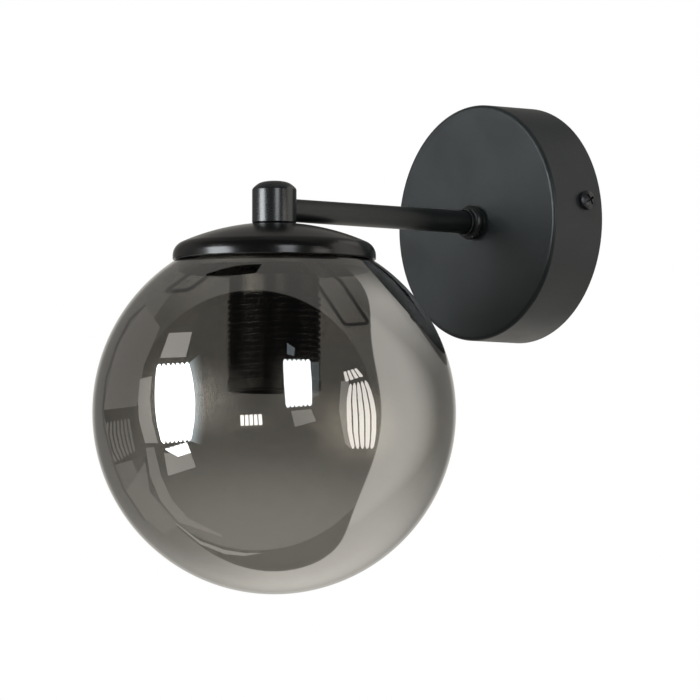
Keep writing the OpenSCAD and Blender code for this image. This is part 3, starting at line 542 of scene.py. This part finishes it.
def add_head():
    low, high = (Vector(corner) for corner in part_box("arm_head"))
    r = (high.x - low.x) / 2
    height = high.z - low.z
    bore = [(0, HEAD_WELL), (HEAD_BORE_R, HEAD_WELL), (HEAD_BORE_R, 0)]
    foot = [(r - HEAD_FOOT_SOFT, 0), (r, HEAD_FOOT_SOFT)]
    crown = [(min(r, x * MM), height - drop * MM) for x, drop in CROWN]
    profile = bore + foot + crown + [(0, height)]
    points, faces = spin(profile, HEAD_SIDES, (0, HEAD_Y, low.z))
    add_piece("head_turned", points, faces, "head_black", "fixture", "arm_head")


# Studio cards that only show as reflections, placed where the front of the globe mirrors them.
# Each has its left and right edges, from the top down, in pixels of the picture, then its number
# of tubes, the share of each tube's width that is dark, its colour and its strength. The dark card
# clip_shade lies on its side: its two edges are its upper and its lower line, from the left.
CARD_DISTANCE = 2.4
CARD_STEP = 0.01
CARD_COLUMNS = 6
CARD_ROWS = 24
# How far a tube's round end falls back at its sides, as a share of its length
TUBE_END = 0.05
PIXEL_FOCAL = PICTURE * LENS / SENSOR
WARM = (1.0, 0.95, 0.90)
COOL = (0.93, 0.97, 1.0)
SKY = (0.80, 0.93, 1.0)
CARDS = {
    "left_panel": (((145, 305), (117, 345), (103, 410)), ((160, 327), (144, 365), (137, 406)),
                   1, 0.0, WARM, 0.25),
    "left_corner": (((103, 410), (115, 465)), ((138, 406), (149, 455)), 1, 0.0, WARM, 0.04),
    "edge_tubes": (((106, 422), (105, 436), (109, 452), (115, 463)),
                   ((130, 418), (132, 430), (134, 441), (136, 451)), 7, 0.4, WARM, 0.26),
    "left_pane_side": (((140, 379), (138, 400), (139, 420), (145, 443)),
                       ((152, 376), (150, 398), (152, 420), (158, 443)), 1, 0.0, WARM, 0.7),
    "left_pane_top": (((169, 333), (160, 358)), ((192, 332), (186, 357)), 1, 0.0, WARM, 0.95),
    "left_pane_foot": (((164, 453), (168, 476)), ((191, 454), (196, 467)), 1, 0.0, WARM, 0.75),
    "left_glow": (((188, 364), (193, 384), (194, 420), (190, 441)),
                  ((202, 352), (207, 384), (208, 420), (204, 446)), 1, 0.0, SKY, 1.8),
    "left_tubes": (((157, 364), (155, 384), (155, 404), (157, 424), (162, 444)),
                   ((189, 362), (193, 382), (195, 402), (194, 422), (191, 441)),
                   7, 0.0, COOL, 13.0),
    "left_ends": (((164, 449), (178, 457)), ((187, 442), (191, 453)), 5, 0.1, COOL, 8.0),
    "front_side": (((310, 362), (312, 398)), ((319, 362), (319, 395)), 1, 0.0, SKY, 0.28),
    "front_pane_top": (((287, 343), (287, 354)), ((295, 348), (294, 356)), 1, 0.0, SKY, 0.5),
    "front_pane_foot": (((291, 411), (295, 427)), ((311, 409), (316, 421)), 1, 0.0, WARM, 0.6),
    "front_tubes": (((283, 359), (284, 384), (286, 408)), ((310, 359), (312, 384), (312, 406)),
                    6, 0.0, COOL, 5.5),
    "low_tubes": (((240, 415), (240, 426)), ((262, 414), (263, 425)), 5, 0.22, WARM, 5.0),
    "right_glow": (((341, 381), (339, 410), (345, 443)), ((349, 381), (346, 410), (351, 449)),
                   1, 0.0, WARM, 0.5),
    "right_tubes": (((349, 384), (346, 400), (346, 416), (347, 432), (351, 449)),
                    ((367, 380), (372, 391), (375, 402), (377, 414), (377, 430), (376, 440), (374, 449)),
                    5, 0.24, WARM, 3.0),
    "right_ends": (((343, 372), (345, 382)), ((357, 368), (364, 376)), 4, 0.25, WARM, 3.0),
    "low_left": (((126, 492), (140, 515), (165, 535)), ((145, 462), (150, 492), (178, 525)),
                 1, 0.0, WARM, 0.27),
    "rim_line": (((145, 304), (129, 319), (116, 344), (105, 379), (102, 410), (103, 426), (113, 465),
                  (123, 490), (144, 521)),
                 ((146, 306), (131, 321), (118, 346), (107, 380), (104, 410), (105, 425), (115, 464),
                  (125, 489), (145, 519)), 1, 0.0, WARM, 0.12),
    "arc_band": (((146, 448), (150, 476), (160, 500), (178, 522), (222, 537)),
                 ((154, 447), (161, 476), (172, 500), (188, 518), (222, 535)), 1, 0.0, WARM, 0.38),
    "arc_line": (((176, 524), (200, 544), (225, 554), (245, 556), (262, 553)),
                 ((176, 523), (200, 541), (225, 550), (245, 553), (262, 553)), 1, 0.0, WARM, 0.6),
    "clip_shade": (((206, 274), (222, 269), (240, 265), (262, 264)),
                   ((206, 276), (222, 276), (240, 275), (256, 273)), 1, 0.0, WARM, 0.0),
}
# Cards whose light dies away from their left edge to their right, by this power
FADING = ("left_glow",)
FADE_POWER = 2


def mirrored(x, y, distance):
    """The place at a distance that the front of the globe shows at pixel (x, y)."""
    way = (right * (x - PICTURE / 2) + up * (PICTURE / 2 - y) - back * PIXEL_FOCAL).normalized()
    from_centre = eye - GLOBE_C
    half = way.dot(from_centre)
    reach = -half - math.sqrt(half * half - from_centre.length_squared + GLOBE_R ** 2)
    spot = eye + way * reach
    normal = (spot - GLOBE_C) / GLOBE_R
    return spot + (way - 2 * way.dot(normal) * normal) * distance


def glow(name, colour, strength):
    material = bpy.data.materials.new(name)
    material.use_nodes = True
    t = Nodes(material.node_tree)
    if name in FADING:
        across = t.add("ShaderNodeAttribute", attribute_name="across").outputs["Fac"]
        fade = t.math("POWER", t.math("SUBTRACT", 1, across), FADE_POWER)
        strength = t.math("MULTIPLY", fade, strength)
    light = t.add("ShaderNodeEmission", {"Color": rgba(colour), "Strength": strength})
    t.add("ShaderNodeOutputMaterial", {"Surface": light.outputs[0]})
    return material


def along(points, share):
    """The point at a share of the way along a line of points."""
    place = share * (len(points) - 1)
    first = min(int(place), len(points) - 2)
    return points[first].lerp(points[first + 1], place - first)


def add_card(name, distance, left_edge, right_edge, tubes, gap, colour, strength):
    left_edge = [Vector(pixel) for pixel in left_edge]
    right_edge = [Vector(pixel) for pixel in right_edge]
    points, faces, shares = [], [], []
    for tube in range(tubes):
        first = len(points)
        for i in range(CARD_COLUMNS + 1):
            share = i / CARD_COLUMNS
            place = (tube + gap / 2 + (1 - gap) * share) / tubes
            end = TUBE_END * (2 * share - 1) ** 2 if tubes > 1 else 0
            for j in range(CARD_ROWS + 1):
                level = end + (1 - 2 * end) * j / CARD_ROWS
                pixel = along(left_edge, level).lerp(along(right_edge, level), place)
                points.append(mirrored(pixel.x, pixel.y, distance))
                shares.append(place)
        for i in range(CARD_COLUMNS):
            for j in range(CARD_ROWS):
                a = first + i * (CARD_ROWS + 1) + j
                faces.append((a, a + 1, a + CARD_ROWS + 2, a + CARD_ROWS + 1))
    mesh = bpy.data.meshes.new(name)
    mesh.from_pydata(points, [], faces)
    mesh.attributes.new("across", "FLOAT", "POINT").data.foreach_set("value", shares)
    mesh.materials.append(glow(name, colour, strength))
    card = bpy.data.objects.new(name, mesh)
    bpy.context.scene.collection.objects.link(card)
    card.visible_camera = False
    card.visible_diffuse = False
    card.visible_transmission = False
    card.visible_shadow = False


add_globe()
add_skirt()
add_head()
for order, (card_name, card_values) in enumerate(CARDS.items()):
    add_card(card_name, CARD_DISTANCE - CARD_STEP * order, *card_values)
bpy.context.scene.view_settings.view_transform = "Standard"
add_camera()
add_world()
add_floor()
for lamp_name, lamp_values in LAMPS.items():
    add_lamp(lamp_name, *lamp_values)
